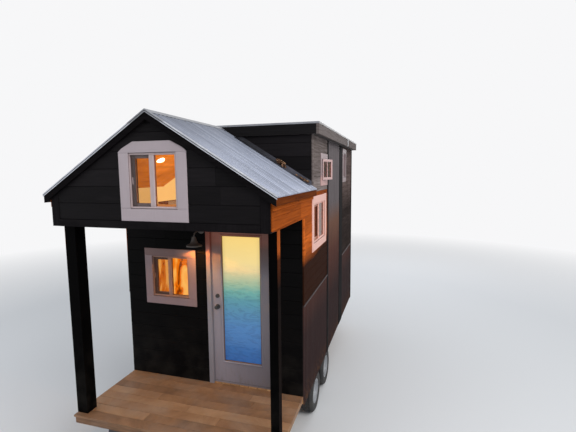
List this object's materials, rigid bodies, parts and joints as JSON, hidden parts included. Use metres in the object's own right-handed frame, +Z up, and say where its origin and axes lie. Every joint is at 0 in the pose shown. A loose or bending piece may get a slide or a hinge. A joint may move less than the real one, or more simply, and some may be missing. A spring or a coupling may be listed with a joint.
{
  "type": "tiny house on wheels",
  "caption": "Small wooden house on a trailer: gabled front with a loft over a recessed porch, hinged glazed door, flat-roofed raised rear, metal and cedar sides.",
  "frame": {"origin": "middle of the bottom of the whole object's box, on the ground", "axes": "+X to the right seen from the porch, +Y from the porch to the tongue, +Z up"},
  "size_m": [2.66, 6.6389, 4.133],
  "materials": {
    "frame_steel": "black paint",
    "tyre": "matt",
    "rim": "silver paint",
    "floor_wood": "oiled boards",
    "deck_wood": "weathered boards",
    "black_siding": "black stain on level boards",
    "black_wood": "black stain",
    "cedar_siding": "orange-brown cedar boards",
    "grey_siding": "weathered grey-brown boards",
    "rafter_wood": "warm boards inside, black edges outside",
    "roof_metal": "galvanised, ribbed, pale blue-grey",
    "edge_metal": "folded galvanised strip",
    "flat_roofing": "flat membrane",
    "fascia_wood": "dark at the front, weathered at the sides",
    "wall_metal": "weathered ribbed sheet",
    "cap_metal": "dull strip",
    "white_trim": "white paint",
    "vinyl": "off-white",
    "door_paint": "off-white paint",
    "hinge_steel": "satin",
    "black_hardware": "black paint",
    "window_glass": "clear, lit from inside",
    "door_glass": "rippled, yellow above to blue below"
  },
  "bodies": {
    "house": {"trailer_rails": "frame_steel", "crossmembers": "frame_steel", "axles": "frame_steel", "tyres": "tyre", "wheel_rims": "rim", "tongue": "frame_steel", "jacks": "frame_steel", "floor_deck": "floor_wood", "porch_deck": "deck_wood", "loft_floor": "floor_wood", "porch_posts": "black_wood", "porch_walls": "black_siding", "porch_wall_header": "black_siding", "right_wall": "cedar_siding", "left_wall": "cedar_siding", "rear_wall": "grey_siding", "gable_wall": "black_siding", "loft_side_walls": "cedar_siding", "dormer_front_walls": "black_siding", "dormer_side_walls": "grey_siding", "roof_deck_right": "rafter_wood", "roof_deck_left": "rafter_wood", "roof_metal_right": "roof_metal", "roof_metal_left": "roof_metal", "ridge_cap": "edge_metal", "roof_edge_trim": "edge_metal", "flat_roof": "flat_roofing", "roof_fascia": "fascia_wood", "metal_cladding": "wall_metal", "wainscot_caps": "cap_metal", "black_boards": "black_wood", "door_frame": "white_trim", "door_trim": "white_trim", "door_hinges": "hinge_steel", "front_window_trims": "white_trim", "front_window_frames": "vinyl", "front_window_glass": "window_glass", "side_windows": "white_trim", "side_window_glass": "window_glass", "rear_windows": "white_trim", "rear_window_glass": "window_glass", "porch_lamp": "black_hardware"},
    "front_door": {"door_leaf": "door_paint", "door_glass": "door_glass", "door_lock": "black_hardware"}
  },
  "joints": [
    {"name": "front_door_hinge", "type": "hinge", "parent": "house", "child": "front_door", "pos_m": [0.8245, -2.1565, 1.79], "axis": [0, 0, 1], "range_deg": [0, 95]}
  ]
}
